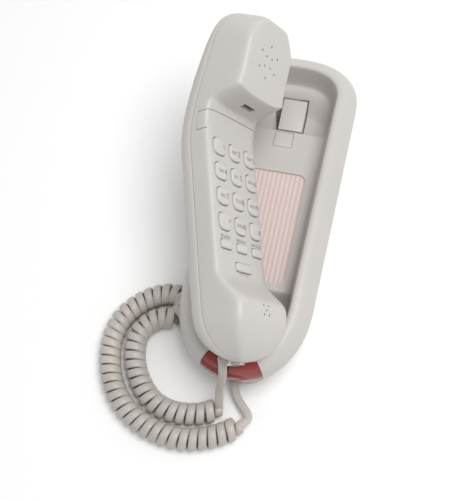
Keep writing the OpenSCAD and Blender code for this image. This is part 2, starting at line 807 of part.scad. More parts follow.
key_cap([0, reset_v], reset_size, 1.6);  // key_reset
base_plug();
handset_plug();
base_lead();
handset_lead();
curly_cord();
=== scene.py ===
"""Slimline wall phone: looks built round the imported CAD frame. Sizes are in millimetres, scaled to metres."""
import json
import math

import bmesh
import bpy
from mathutils import Matrix, Vector


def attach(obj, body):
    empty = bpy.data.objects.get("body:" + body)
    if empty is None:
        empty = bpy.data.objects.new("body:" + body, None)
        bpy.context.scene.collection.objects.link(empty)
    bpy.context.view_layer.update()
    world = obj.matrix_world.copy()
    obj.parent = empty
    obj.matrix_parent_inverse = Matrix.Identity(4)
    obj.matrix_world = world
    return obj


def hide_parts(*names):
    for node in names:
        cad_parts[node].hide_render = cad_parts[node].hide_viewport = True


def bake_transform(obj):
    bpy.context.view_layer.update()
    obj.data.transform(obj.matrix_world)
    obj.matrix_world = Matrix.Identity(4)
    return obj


MM = 0.001
TABLE_Z = -0.8
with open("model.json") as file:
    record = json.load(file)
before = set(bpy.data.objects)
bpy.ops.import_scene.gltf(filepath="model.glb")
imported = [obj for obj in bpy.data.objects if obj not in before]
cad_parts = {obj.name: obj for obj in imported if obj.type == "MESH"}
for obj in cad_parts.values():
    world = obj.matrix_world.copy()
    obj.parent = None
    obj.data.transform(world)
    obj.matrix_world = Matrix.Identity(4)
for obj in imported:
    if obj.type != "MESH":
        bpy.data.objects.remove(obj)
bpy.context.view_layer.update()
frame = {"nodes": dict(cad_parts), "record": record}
scene = bpy.context.scene


# ---------- camera ----------
CAMERA_AT = Vector((55.84, -228.96, 515.18))
CAMERA_RIGHT = Vector((0.97453, 0.21607, -0.05996))
CAMERA_DOWN = Vector((0.17541, -0.90115, -0.39644))
CAMERA_VIEW = Vector((-0.13969, 0.37582, -0.91610))


def make_camera():
    data = bpy.data.cameras.new("camera")
    data.sensor_fit = "HORIZONTAL"
    data.sensor_width = 36
    data.lens = 68.1
    data.clip_start = 0.05
    data.clip_end = 20
    camera = bpy.data.objects.new("camera", data)
    turn = Matrix((CAMERA_RIGHT, -CAMERA_DOWN, -CAMERA_VIEW)).transposed().to_4x4()
    camera.matrix_world = Matrix.Translation(CAMERA_AT * MM) @ turn
    scene.collection.objects.link(camera)
    scene.camera = camera


make_camera()


# ---------- small helpers ----------
def smooth(a, b, x):
    """0 at a, 1 at b, with an easy start and end."""
    t = max(0.0, min(1.0, (x - a) / (b - a)))
    return t * t * (3 - 2 * t)


def lerp(a, b, t):
    return a + (b - a) * t


def spaced(a, b, count):
    return [lerp(a, b, i / (count - 1)) for i in range(count)]


def catmull(points, steps):
    """A smooth curve through points, with steps segments for each span."""
    pts = [Vector(p) for p in points]
    out = []
    for i in range(len(pts) - 1):
        p1, p2 = pts[i], pts[i + 1]
        p0 = pts[i - 1] if i else p1 * 2 - p2
        p3 = pts[i + 2] if i + 2 < len(pts) else p2 * 2 - p1
        for k in range(steps):
            t = k / steps
            out.append(0.5 * (2 * p1 + (p2 - p0) * t + (2 * p0 - 5 * p1 + 4 * p2 - p3) * t * t
                              + (3 * p1 - p0 - 3 * p2 + p3) * t * t * t))
    return out + [pts[-1]]


def make_object(name, points, faces, material, transform=None, shade=True):
    """A mesh from points in millimetres, with doubled points joined and its faces turned outwards."""
    mesh = bpy.data.meshes.new(name)
    pts = [(transform @ Vector(p) if transform else Vector(p)) * MM for p in points]
    mesh.from_pydata(pts, [], faces)
    bm = bmesh.new()
    bm.from_mesh(mesh)
    bmesh.ops.remove_doubles(bm, verts=bm.verts, dist=1e-7)
    bmesh.ops.recalc_face_normals(bm, faces=bm.faces)
    bm.to_mesh(mesh)
    bm.free()
    if material:
        mesh.materials.append(material)
    for p in mesh.polygons:
        p.use_smooth = shade
    obj = bpy.data.objects.new(name, mesh)
    scene.collection.objects.link(obj)
    return obj


def apply_modifiers(obj):
    graph = bpy.context.evaluated_depsgraph_get()
    mesh = bpy.data.meshes.new_from_object(obj.evaluated_get(graph))
    obj.modifiers.clear()
    obj.data = mesh


def cut(obj, cutters):
    """Takes the cutters, one after another, out of obj and removes them."""
    for cutter in cutters:
        modifier = obj.modifiers.new("cut", "BOOLEAN")
        modifier.operation = "DIFFERENCE"
        modifier.solver = "MANIFOLD"
        modifier.object = cutter
        apply_modifiers(obj)
        bpy.data.objects.remove(cutter)


def bevel_edges(obj, width, segments, angle):
    """Rounds the edges of obj that are sharper than the angle."""
    bevel = obj.modifiers.new("bevel", "BEVEL")
    bevel.width = width * MM
    bevel.segments = segments
    bevel.limit_method = "ANGLE"
    bevel.angle_limit = math.radians(angle)
    apply_modifiers(obj)


def softened(node, width):
    """A copy of a CAD node's surface with its sharp edges rounded, shown in the node's place."""
    part = frame["nodes"][node]
    piece = bpy.data.objects.new(node + "_soft", part.data.copy())
    piece.matrix_world = part.matrix_world.copy()
    scene.collection.objects.link(piece)
    bm = bmesh.new()
    bm.from_mesh(piece.data)
    bmesh.ops.remove_doubles(bm, verts=bm.verts, dist=0.00001)
    bmesh.ops.dissolve_limit(bm, angle_limit=math.radians(1.5), verts=bm.verts, edges=bm.edges)
    bm.to_mesh(piece.data)
    bm.free()
    bevel_edges(piece, width, 3, 40)
    by_angle(piece, 40)
    return piece


def by_angle(obj, degrees):
    """Smooth shading, with edges sharper than the angle kept hard."""
    for p in obj.data.polygons:
        p.use_smooth = True
    bm = bmesh.new()
    bm.from_mesh(obj.data)
    limit = math.radians(degrees)
    for e in bm.edges:
        e.smooth = len(e.link_faces) == 2 and e.calc_face_angle(0) < limit
    bm.to_mesh(obj.data)
    bm.free()


def rounded_outline(w, h, r):
    """A rectangle about the origin with rounded corners."""
    steps = 8
    out = []
    for cx, cy, start in ((1, 1, 0), (-1, 1, 90), (-1, -1, 180), (1, -1, 270)):
        for k in range(steps + 1):
            a = math.radians(start + 90 * k / steps)
            out.append((cx * (w / 2 - r) + r * math.cos(a), cy * (h / 2 - r) + r * math.sin(a)))
    return out


def prism(name, outline, z0, z1, transform=None):
    """A cutter that fills an outline between two heights."""
    n = len(outline)
    points = [(x, y, z0) for x, y in outline] + [(x, y, z1) for x, y in outline]
    faces = [list(range(n))[::-1], list(range(n, 2 * n))]
    faces += [(i, (i + 1) % n, n + (i + 1) % n, n + i) for i in range(n)]
    return make_object(name, points, faces, None, transform, shade=False)


def loft(name, rings, material, transform=None, cap=True, closed=True):
    """Rings of equal length joined into a skin; cap closes both ends."""
    n = len(rings[0])
    points = [p for ring in rings for p in ring]
    faces = []
    for i in range(len(rings) - 1):
        for j in range(n if closed else n - 1):
            a, b = i * n + j, i * n + (j + 1) % n
            faces.append((a, b, b + n, a + n))
    if cap:
        faces.append(list(range(n))[::-1])
        faces.append(list(range((len(rings) - 1) * n, len(rings) * n)))
    return make_object(name, points, faces, material, transform)


# ---------- materials ----------
def new_material(name, color, roughness, **sockets):
    material = bpy.data.materials.new(name)
    material.use_nodes = True
    shader = material.node_tree.nodes["Principled BSDF"]
    shader.inputs["Base Color"].default_value = (*color, 1)
    shader.inputs["Roughness"].default_value = roughness
    for key, value in sockets.items():
        shader.inputs[key.replace("_", " ")].default_value = value
    return material


def node_kit(material):
    """The node tree, its shader and the place on the object."""
    tree = material.node_tree
    shader = tree.nodes["Principled BSDF"]
    where = tree.nodes.new("ShaderNodeTexCoord").outputs["Object"]
    return tree, shader, where


def add_noise(tree, where, scale, detail=3.0, rough=0.5):
    noise = tree.nodes.new("ShaderNodeTexNoise")
    noise.inputs["Scale"].default_value = scale
    noise.inputs["Detail"].default_value = detail
    noise.inputs["Roughness"].default_value = rough
    tree.links.new(where, noise.inputs["Vector"])
    return noise.outputs["Fac"]


def map_range(tree, value, low, high, a=0.3, b=0.7):
    """Stretches a value from a..b to low..high."""
    node = tree.nodes.new("ShaderNodeMapRange")
    node.inputs["From Min"].default_value = a
    node.inputs["From Max"].default_value = b
    node.inputs["To Min"].default_value = low
    node.inputs["To Max"].default_value = high
    tree.links.new(value, node.inputs["Value"])
    return node.outputs["Result"]


def blend_colors(tree, factor, a, b):
    mix = tree.nodes.new("ShaderNodeMix")
    mix.data_type = "RGBA"
    mix.inputs["A"].default_value = (*a, 1)
    mix.inputs["B"].default_value = (*b, 1)
    tree.links.new(factor, mix.inputs["Factor"])
    return mix.outputs["Result"]


def color_by_noise(tree, shader, noise, a, b, low=0.3, high=0.7):
    factor = map_range(tree, noise, 0, 1, low, high)
    tree.links.new(blend_colors(tree, factor, a, b), shader.inputs["Base Color"])


def vary_roughness(tree, shader, noise, low, high):
    tree.links.new(map_range(tree, noise, low, high), shader.inputs["Roughness"])


def bump(tree, shader, height, strength, distance):
    node = tree.nodes.new("ShaderNodeBump")
    node.inputs["Strength"].default_value = strength
    node.inputs["Distance"].default_value = distance
    tree.links.new(height, node.inputs["Height"])
    tree.links.new(node.outputs["Normal"], shader.inputs["Normal"])


def plastic(name, light, dark, roughness, grain=0.12, patch=14.0):
    """Moulded ABS: a fine spark-eroded grain, and slight colour and gloss changes over centimetres."""
    material = new_material(name, light, roughness)
    tree, shader, where = node_kit(material)
    color_by_noise(tree, shader, add_noise(tree, where, patch, 2.0), dark, light)
    vary_roughness(tree, shader, add_noise(tree, where, patch * 5, 4.0), roughness - 0.05, roughness + 0.06)
    bump(tree, shader, add_noise(tree, where, 2600.0, 2.0, 0.6), grain, 0.00006)
    return material


SHELL = plastic("shell_plastic", (0.545, 0.522, 0.498), (0.52, 0.497, 0.474), 0.4)
KEYS = plastic("key_plastic", (0.56, 0.54, 0.515), (0.54, 0.517, 0.492), 0.38, patch=60.0)
BLACK = plastic("black_plastic", (0.03, 0.03, 0.03), (0.022, 0.022, 0.022), 0.5)
RUBBER = plastic("rubber", (0.035, 0.035, 0.035), (0.02, 0.02, 0.02), 0.8, grain=0.4)
MEMBRANE = plastic("silicone", (0.16, 0.16, 0.165), (0.12, 0.12, 0.125), 0.6)
PRINT = plastic("grey_print", (0.14, 0.13, 0.12), (0.18, 0.17, 0.16), 0.5, patch=400.0)


def cord_material():
    """Soft vinyl jacket."""
    material = new_material("cord_jacket", (0.5, 0.465, 0.425), 0.42)
    tree, shader, where = node_kit(material)
    color_by_noise(tree, shader, add_noise(tree, where, 30.0, 2.0), (0.43, 0.4, 0.365), (0.52, 0.485, 0.445))
    shader.inputs["Subsurface Weight"].default_value = 0.08
    shader.inputs["Subsurface Radius"].default_value = (0.002, 0.0015, 0.001)
    bump(tree, shader, add_noise(tree, where, 1500.0, 3.0), 0.15, 0.00005)
    return material


def lens_material():
    """Deep red acrylic, a little cloudy inside."""
    material = new_material("red_acrylic", (0.33, 0.028, 0.026), 0.12)
    tree, shader, where = node_kit(material)
    shader.inputs["Transmission Weight"].default_value = 0.25
    shader.inputs["IOR"].default_value = 1.49
    shader.inputs["Subsurface Weight"].default_value = 0.3
    shader.inputs["Subsurface Radius"].default_value = (0.004, 0.0008, 0.0006)
    color_by_noise(tree, shader, add_noise(tree, where, 90.0, 2.0), (0.25, 0.018, 0.018), (0.4, 0.05, 0.045))
    bump(tree, shader, add_noise(tree, where, 260.0, 2.0), 0.12, 0.0002)
    return material


def clear_material(name, color, roughness, transmission, alpha=1.0):
    """Clear plastic with fine scratches."""
    material = new_material(name, color, roughness)
    tree, shader, where = node_kit(material)
    shader.inputs["Transmission Weight"].default_value = transmission
    shader.inputs["Alpha"].default_value = alpha
    shader.inputs["IOR"].default_value = 1.5
    vary_roughness(tree, shader, add_noise(tree, where, 350.0, 5.0), roughness, roughness + 0.08)
    bump(tree, shader, add_noise(tree, where, 25.0, 1.0), 0.06, 0.0002)
    return material


def card_material():
    """Pink card printed with fine lengthways stripes."""
    material = new_material("striped_card", (0.6, 0.4, 0.37), 0.55)
    tree, shader, where = node_kit(material)
    wave = tree.nodes.new("ShaderNodeTexWave")
    wave.bands_direction = "X"
    wave.inputs["Scale"].default_value = 105.0
    wave.inputs["Distortion"].default_value = 0.0
    tree.links.new(where, wave.inputs["Vector"])
    color_by_noise(tree, shader, wave.outputs["Fac"], (0.63, 0.44, 0.41), (0.72, 0.59, 0.55), 0.35, 0.65)
    bump(tree, shader, add_noise(tree, where, 900.0, 4.0), 0.15, 0.00005)
    return material


def metal_material(name, color, roughness):
    """Plated steel with uneven gloss."""
    material = new_material(name, color, roughness, Metallic=1.0)
    tree, shader, where = node_kit(material)
    fine = add_noise(tree, where, 400.0, 5.0)
    vary_roughness(tree, shader, fine, roughness - 0.08, roughness + 0.12)
    bump(tree, shader, fine, 0.1, 0.00005)
    return material


def board_material():
    """Green lacquer, lighter where the traces run."""
    material = new_material("solder_mask", (0.03, 0.12, 0.05), 0.35)
    tree, shader, where = node_kit(material)
    traces = add_noise(tree, where, 180.0, 1.0)
    color_by_noise(tree, shader, traces, (0.02, 0.1, 0.045), (0.05, 0.18, 0.08), 0.48, 0.52)
    bump(tree, shader, traces, 0.2, 0.0001)
    return material


CORD = cord_material()
LENS = lens_material()
WINDOW = clear_material("clear_window", (0.9, 0.9, 0.9), 0.08, 0.0, 0.12)
PLUG = clear_material("clear_plug", (0.85, 0.86, 0.84), 0.15, 0.7)
CARD = card_material()
STEEL = metal_material("zinc_steel", (0.55, 0.55, 0.57), 0.35)
BOARD = board_material()

# ---------- the handset's own axes: u across, v along, w out of the face ----------
HAND = (Matrix.Translation((-12.4, -18.3, 75.4)) @ Matrix.Rotation(math.radians(16.2), 4, "Z")
        @ Matrix.Rotation(math.radians(8.9), 4, "X") @ Matrix.Rotation(math.radians(58.8), 4, "Y"))

# ---------- the cord: handset lead, coil and base lead, one after another ----------
COIL_Z = 6.0
COIL_D = 13.6
LEAD_W, LEAD_T = 5.0, 2.4
INNER_RUN = [(-5, -121.5), (-14, -126.5), (-25, -129), (-36, -128.5), (-46, -124.5), (-54.5, -116.5),
             (-60.5, -107), (-64, -96), (-64, -86), (-59.5, -78), (-52.5, -73), (-46, -71.5)]
FAR_TURN = [(-42.5, -69), (-41, -64), (-42, -59)]
OUTER_RUN = [(-46.5, -56.5), (-54, -57.5), (-63, -62), (-71.5, -70), (-77.5, -80), (-79.5, -92),
             (-78, -104), (-74, -115), (-67.5, -125.5), (-58.5, -134), (-47.5, -140), (-36, -143),
             (-24, -144), (-12, -141.5), (-1, -136.5), (9, -129.5)]
HANDSET_LEAD = [(-4.6, -102.4, 50.6), (-3.6, -106, 47.4), (-3.2, -109.6, 41), (-4, -112.2, 33),
                (-5, -114.4, 25), (-5.3, -116.6, 18)]
BASE_LEAD = [(13, -124.5, 6.2), (11.5, -120.5, 5.4), (7, -116, 4.4), (3, -111, 4.2), (0.8, -106, 5),
             (0, -101.6, 6)]
COIL_PITCH = 5.6
TURN_STEPS = 20
JOIN_SPAN = 14
SMOOTH_ROUNDS = 14
SECTION_POINTS = 12


def even(points, step):
    """The same polyline, resampled to an even spacing."""
    out, left = [points[0].copy()], step
    for a, b in zip(points, points[1:]):
        length = (b - a).length
        at = left
        while at <= length:
            out.append(a.lerp(b, at / length))
            at += step
        left = at - length
    return out


def heading(path, i):
    return (path[min(i + 1, len(path) - 1)] - path[max(i - 1, 0)]).normalized()


def cord_rows():
    """Centre points of both leads, and of the coil with the direction across its flat side."""
    axis = even(catmull([(x, y, COIL_Z) for x, y in INNER_RUN + FAR_TURN + OUTER_RUN], 12),
                COIL_PITCH / TURN_STEPS)
    radius = COIL_D / 2 - LEAD_T / 2
    rows = []
    up = Vector((0, 0, 1))
    n = len(axis)
    for i, c in enumerate(axis):
        d = heading(axis, i)
        side = d.cross(up).normalized()
        a = 2 * math.pi * i / TURN_STEPS + math.pi / 2
        # the first and last half turn wind in from the axis
        grow = min(1.0, 0.35 + min(i, n - 1 - i) / TURN_STEPS)
        out = side * math.cos(a) + up * math.sin(a)
        rows.append((c + out * radius * grow, d))
    lead = catmull(HANDSET_LEAD + [tuple(rows[0][0] + Vector((0, 0, 1.0))), tuple(rows[0][0])], 6)[:-1]
    tail = catmull([tuple(rows[-1][0])] + BASE_LEAD, 8)[1:]
    return lead, rows, tail


def signed_power(x, power):
    return abs(x) ** power * math.copysign(1, x)


def flat_directions(path, rows, start):
    """The direction across the cord's flat side at each point, eased where the leads meet the coil."""
    wide = [rows[i - start][1].copy() if 0 <= i - start < len(rows)
            else heading(path, i).cross(Vector((0.02, 0.05, 1))).normalized() for i in range(len(path))]
    for _ in range(SMOOTH_ROUNDS):
        for i in range(1, len(wide) - 1):
            if abs(i - start) < JOIN_SPAN or abs(i - start - len(rows)) < JOIN_SPAN:
                a, b, c = wide[i - 1], wide[i], wide[i + 1]
                a = a if a.dot(b) > 0 else -a
                c = c if c.dot(b) > 0 else -c
                wide[i] = (a + b + c).normalized()
    return wide


def make_cord():
    """The cord as one flat jacket swept along its path; also gives the path and its length."""
    lead, rows, tail = cord_rows()
    path = lead + [r[0] for r in rows] + tail
    wide = flat_directions(path, rows, len(lead))
    section = []
    for k in range(SECTION_POINTS):
        a = 2 * math.pi * k / SECTION_POINTS
        section.append((signed_power(math.cos(a), 0.55), signed_power(math.sin(a), 0.8)))
    rings = []
    last = None
    for i, p in enumerate(path):
        d = heading(path, i)
        s = wide[i] - d * wide[i].dot(d)
        s.normalize()
        if last is not None and s.dot(last) < 0:
            s = -s
        last = s
        thick = d.cross(s)
        rings.append([p + s * x * LEAD_W / 2 + thick * y * LEAD_T / 2 for x, y in section])
    cord = loft("cord", rings, CORD)
    length = sum((b - a).length for a, b in zip(path, path[1:]))
    return cord, path, length


cord, cord_path, cord_length = make_cord()
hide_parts("curly_cord", "base_lead", "handset_lead")
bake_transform(cord)


# ---------- the base ----------
END_TOP, END_BOTTOM = 112.0, -108.5
TOP_START, BOTTOM_START = 80.0, -56.0
TOP_POWER, BOTTOM_POWER = 2.5, 2.25
TOP_RIM, BOTTOM_RIM = 0.89, 0.59
STEP_Y, STEP_EDGE = 64.0, 0.5
EAR_FLOOR, EAR_RISE, EAR_SLOPE, EAR_ARCH = 14.0, 12.0, (80, 97), 0.011
MOUTH_DROP, MOUTH_SLOPE = 8.0, (-47.0, -54)
CRADLE_Z, WALL = 22.0, 2.2
LENS_ANGLE, LENS_FIRST = 65.0, 2
RIM_CORE = Vector((10, 28))
FLOOR_COLUMNS = 20
RIM = [(9.5, 0), (8.4, 5), (6.5, 10), (3.5, 18), (1, 25), (0, 30.5), (0.9, 35.5), (3.5, 40),
       (7, 43.2), (10.2, 44.2), (12.4, 43.8)]
CRADLE_WALL = [(13.5, 42.4), (14.2, 38), (14.9, 33), (15.5, 28.5), (16.2, 25), (17.2, 22.9), (19.2, 22)]
UNDERSIDE = [(11.7, 0), (10.6, 5), (8.8, 10.6), (5.8, 18.8), (3.3, 25.5), (2.3, 30.5), (3, 34.5),
             (5, 38.2), (7.6, 41.1), (9.6, 41.9), (11, 41), (11.7, 37.6), (12.4, 32.6), (12.9, 27),
             (13.6, 23.2), (15.4, 20.6), (19, 19.8)]
WALL_TOP = 33.0


def half_at(y):
    """Half of the base's width at a place y along it."""
    return 40.9 + 0.018 * y


def outline_point(kind, value, d):
    """A point of the outline inset by d: an angle at either end, or a place y along a side."""
    if kind == "side":
        return half_at(value) - d, value
    a = math.radians(value)
    if kind == "bottom":
        start, reach, power = BOTTOM_START, END_BOTTOM - BOTTOM_START + d * BOTTOM_RIM, BOTTOM_POWER
    else:
        start, reach, power = TOP_START, END_TOP - TOP_START - d * TOP_RIM, TOP_POWER
    return ((half_at(start) - d) * max(0, math.cos(a)) ** (2 / power),
            start + reach * math.sin(a) ** (2 / power))


def half_stations():
    """Stations up the right side, from the bottom centre to the top centre."""
    bottom = [("bottom", a) for a in spaced(90, 2, 45)]
    side_ys = (spaced(-56, -44, 13) + spaced(-40, 60, 21) + [62, 63, 63.4, 63.6, 63.8, 63.94, 64.0, 64.03,
               64.2, 64.5, 65] + spaced(66, 80, 15))
    top = [("top", a) for a in spaced(2, 90, 45)]
    return bottom + [("side", y) for y in side_ys] + top


def floor_z(x, y):
    """Height of the cradle's floor: flat, with a step down to the ear well and a slope to the mouth well."""
    if y > STEP_Y:
        return EAR_FLOOR + EAR_RISE * smooth(*EAR_SLOPE, y + EAR_ARCH * x * x)
    over = max(0.0, y - (STEP_Y - STEP_EDGE))
    rounding = STEP_EDGE - math.sqrt(max(0.0, STEP_EDGE ** 2 - over * over))
    return CRADLE_Z - rounding - MOUTH_DROP * smooth(*MOUTH_SLOPE, y)


def base_ring(profile_point, low):
    """One closed ring of the base at an inset and height; below WALL_TOP it reaches down to the floor."""
    d, z = profile_point
    ring = []
    right = [outline_point(kind, value, d) for kind, value in half_stations()]
    for x, y in right + [(-x, y) for x, y in right[-2:0:-1]]:
        height = z
        if low is not None and z < WALL_TOP:
            f = floor_z(x, y) - (CRADLE_Z - low)
            height = f + (z - low) * (WALL_TOP - f) / (WALL_TOP - low)
        ring.append(Vector((x, y, height)))
    return ring


def floor_grid(points, ring, offset, drop):
    """Faces across a ring whose right and left points pair up, with inner points added to points."""
    n = len(ring)
    rows = [[offset]]
    for j in range(1, n // 2):
        right, left = ring[j], ring[n - j]
        row = [offset + j]
        for k in range(1, FLOOR_COLUMNS):
            x = lerp(right.x, left.x, k / FLOOR_COLUMNS)
            points.append(Vector((x, right.y, floor_z(x, right.y) - drop)))
            row.append(len(points) - 1)
        rows.append(row + [offset + n - j])
    rows.append([offset + n // 2])
    faces = []
    for a, b in zip(rows, rows[1:]):
        if len(a) == 1 or len(b) == 1:
            tip, line = (a[0], b) if len(a) == 1 else (b[0], a)
            faces += [(tip, line[k], line[k + 1]) for k in range(FLOOR_COLUMNS)]
        else:
            faces += [(a[k], a[k + 1], b[k + 1], b[k]) for k in range(FLOOR_COLUMNS)]
    return faces


def make_housing():
    """The base's moulding: rim, cradle and underside, open below."""
    profile = [(p[0], p[1]) for p in catmull([(d, z, 0) for d, z in RIM + CRADLE_WALL], 4)]
    outer_count = 4 * (len(RIM) - 1) + 1
    rings = [base_ring(p, None if i < outer_count else CRADLE_Z) for i, p in enumerate(profile)]
    under = [base_ring(p, None if i < len(RIM) else CRADLE_Z - WALL) for i, p in enumerate(UNDERSIDE)]
    n = len(rings[0])
    points = [p for ring in rings for p in ring]
    faces = []
    for i in range(0, (len(rings) - 1) * n, n):
        faces += [(i + j, i + (j + 1) % n, i + n + (j + 1) % n, i + n + j) for j in range(n)]
    start = len(points)
    points += [p for ring in under for p in ring]
    for i in range(start, start + (len(under) - 1) * n, n):
        faces += [(i + j, i + n + j, i + n + (j + 1) % n, i + (j + 1) % n) for j in range(n)]
    faces += [(j, start + j, start + (j + 1) % n, (j + 1) % n) for j in range(n)]
    faces += floor_grid(points, rings[-1], (len(rings) - 1) * n, 0)
    faces += floor_grid(points, under[-1], start + (len(under) - 1) * n, WALL)
    return make_object("base_shell", points, faces, SHELL)


def lens_solid(name, outside, inside, angle, material):
    """The part of the rim's skin that the message lens fills, between two offsets from the outer surface."""
    profile = [Vector((p[0], p[1])) for p in catmull([(d, z, 0) for d, z in RIM[LENS_FIRST:]], 5)]

    def offset(p, t):
        return p + (RIM_CORE - p).normalized() * t

    rings = []
    for side, value in ([(-1, a) for a in spaced(angle, 89, 24)] + [(1, 90)]
                        + [(1, a) for a in spaced(89, angle, 24)]):
        ring = []
        for points, t in ((profile, outside), (profile[::-1], inside)):
            for p in points:
                q = offset(p, t)
                x, y = outline_point("bottom", value, q.x)
                ring.append(Vector((side * x, y, q.y)))
        rings.append(ring)
    return loft(name, rings, material)


def rounded_box(name, w, h, r, z0, z1, at):
    """A cutter with rounded upright edges."""
    outline = [(x + at[0], y + at[1]) for x, y in rounded_outline(w, h, r)]
    return prism(name, outline, z0, z1)


LEVER_OPENING = [(-7, 64.6), (10.3, 64.6), (10.3, 89.8), (-12.8, 89.8)]
TAB_OPENING, TAB_AT = (12.5, 11.1, 1.2), (-1, 57.4)
LABEL_RECESS, LABEL_DEPTH, LABEL_AT = (37.3, 76.5, 5.1), 1.4, (0, -4.8)
CORD_EXIT = [(-4.1, -112), (4.1, -112), (4.1, -94.5), (-4.1, -94.5)]
ABOVE_FLOOR = 30
housing = make_housing()
cut(housing, [
    prism("lever_opening", LEVER_OPENING, 3, ABOVE_FLOOR),
    rounded_box("tab_opening", *TAB_OPENING, 12, ABOVE_FLOOR, TAB_AT),
    rounded_box("label_recess", *LABEL_RECESS, CRADLE_Z - LABEL_DEPTH, ABOVE_FLOOR, LABEL_AT),
    prism("cord_exit", CORD_EXIT, -2, 7.4),
    lens_solid("lens_recess", -2.0, 2.0, LENS_ANGLE, None),
])
by_angle(housing, 30)
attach(housing, "base")
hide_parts("base_housing")

lens = lens_solid("red_lens", 0.0, 1.9, LENS_ANGLE + 0.25, LENS)
bevel_edges(lens, 0.25, 2, 50)
by_angle(lens, 40)
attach(lens, "base")
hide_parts("message_lens")


# ---------- the handset ----------
HAND_LOW, HAND_HIGH = -91.0, 110.0
MOUTH_ROUND, EAR_ROUND = 25, 27
GRIP, BACK_DEPTH = 25.0, 13
FRONT_POWER, CAP_EDGE_POWER, END_POWER, BACK_POWER = 10.5, 16.0, 9.0, 2.7
SEAM_LOW, SEAM_RISE, SEAM_BEND, MOUTH_LIFT = -13, 0.58, 30, 7
SEAM_GAP, END_WALL = 0.15, 2.5
SKIN = 1 - WALL / BACK_DEPTH


def root(x, p):
    return max(0.0, x) ** (1 / p)


def taper(distance, reach, power, p):
    """1 until the distance passes 0, then a rounded fall to 0 at the reach."""
    return root(1 - (max(0, distance) / reach) ** power, p)


def grip_at(v):
    """Half of the handset's width."""
    return (GRIP * taper(v - (HAND_HIGH - EAR_ROUND), EAR_ROUND, 2.25, 2.2)
            * taper(HAND_LOW + MOUTH_ROUND - v, MOUTH_ROUND, 2.25, 2.2))


def seam_at(v):
    """Height of the parting line, which rises towards both ends."""
    ear_lift = SEAM_RISE * (math.hypot(max(v - SEAM_BEND, 0), SEAM_BEND) - SEAM_BEND)
    return SEAM_LOW + ear_lift + MOUTH_LIFT * (max(0, -62 - v) / 28) ** 2


def back_at(v):
    """Height of the back from the parting line, a negative number."""
    return (-BACK_DEPTH * taper(v - 72, HAND_HIGH - 72, 2, 2)
            * taper(HAND_LOW + MOUTH_ROUND - v, MOUTH_ROUND, 2.2, 2))


CAP_V, CAP_REACH, CAP_WIDTH, CAP_POWER = 78.0, 23.3, 31.5, 3.2
EAR_V, EAR_W, EAR_LEAN = 77, 29.6, 0.36
NECK_FOOT, FOOT_LENGTH = 7.5, 4.2
MOUTH_BULGE = 13


def cap_edge(u):
    """Where the cap's lower edge lies along the handset."""
    return CAP_V - CAP_REACH * root(1 - (abs(u) / CAP_WIDTH) ** CAP_POWER, CAP_POWER)


def bend(u, v):
    """Rows near the cap follow its lower edge."""
    return (cap_edge(u) - cap_edge(0)) * (smooth(36, 50, v) - smooth(60, 84, v))


def past_cap(u, v):
    """How far a point lies outside the cap's lower edge, negative inside it."""
    return CAP_REACH * (root((abs(u) / CAP_WIDTH) ** CAP_POWER
                             + (max(0, CAP_V - v) / CAP_REACH) ** CAP_POWER, CAP_POWER) - 1)


def bow(v, w):
    """The ear end's wall bows out most a little above the parting line."""
    return smooth(70, 104, v) * (5.4 - 0.52 * math.sqrt((w - 9) ** 2 + 25))


def cap_height(v):
    """Height of the cap's leaning plane, where the bow puts row v."""
    w = EAR_W + EAR_LEAN * (v - EAR_V)
    for _ in range(3):
        w = EAR_W + EAR_LEAN * (v - EAR_V + bow(v, w))
    return w


def face_at(u, v, back):
    """Height of the face: flat over the keys, the mouth's bulge, a neck with a hollow foot, and the cap."""
    e = past_cap(u, v - back)
    neck = ((cap_height(v) - NECK_FOOT) * (1 - smooth(-0.8, 2.4, e))
            + NECK_FOOT * math.exp(-max(0, e) / FOOT_LENGTH) * (1 - smooth(9, 16, e)))
    return MOUTH_BULGE * smooth(-43, -64, v) + neck


def front_at(u, v, back):
    """Height of the front above the parting line, rounded off at both ends."""
    return ((face_at(u, v, back) - seam_at(v)) * taper(v - (HAND_HIGH - 5), 5, 2.4, 2.4)
            * taper(HAND_LOW + 28 - v, 28, 2.2, 2))


def along(v, inner):
    """Rows of the inner skin stop short of the ends."""
    if not inner:
        return v
    return v + END_WALL * (1 - smooth(HAND_LOW, -60, v)) - END_WALL * smooth(80, HAND_HIGH, v)


def section_shares(power, side_count, top_count):
    """(across, up) shares of a superellipse from the right edge over to the left, evenly spaced."""
    turn = 0.5 ** (1 / power)
    right = [((1 - s ** power) ** (1 / power), s) for s in spaced(0, turn, side_count)]
    top = [(t, (1 - abs(t) ** power) ** (1 / power)) for t in spaced(turn, -turn, top_count)]
    left = [(-a, b) for a, b in right[::-1]]
    return right + top[1:-1] + left


FRONT_COUNTS, BACK_COUNTS = (22, 64), (14, 26)
FRONT_SHARES = section_shares(FRONT_POWER, *FRONT_COUNTS)
BACK_SHARES = section_shares(BACK_POWER, *BACK_COUNTS)
GROOVE_DEPTH, GROOVE_HEIGHT = 0.32, 0.45


def groove(v, height):
    """How far the skin pulls in beside the parting line, less at the narrow ends."""
    return GROOVE_DEPTH * max(0.0, 1 - height / GROOVE_HEIGHT) * min(1.0, grip_at(v) / 8)


def front_shares_at(v):
    """The edge gets crisper and the sides lean in towards the cap."""
    power = (FRONT_POWER + (CAP_EDGE_POWER - FRONT_POWER) * smooth(44, 62, v)
             + (END_POWER - CAP_EDGE_POWER) * smooth(84, 104, v))
    lean = 0.09 * smooth(48, 66, v)
    return [(a * (1 - lean * b), b) for a, b in section_shares(power, *FRONT_COUNTS)]


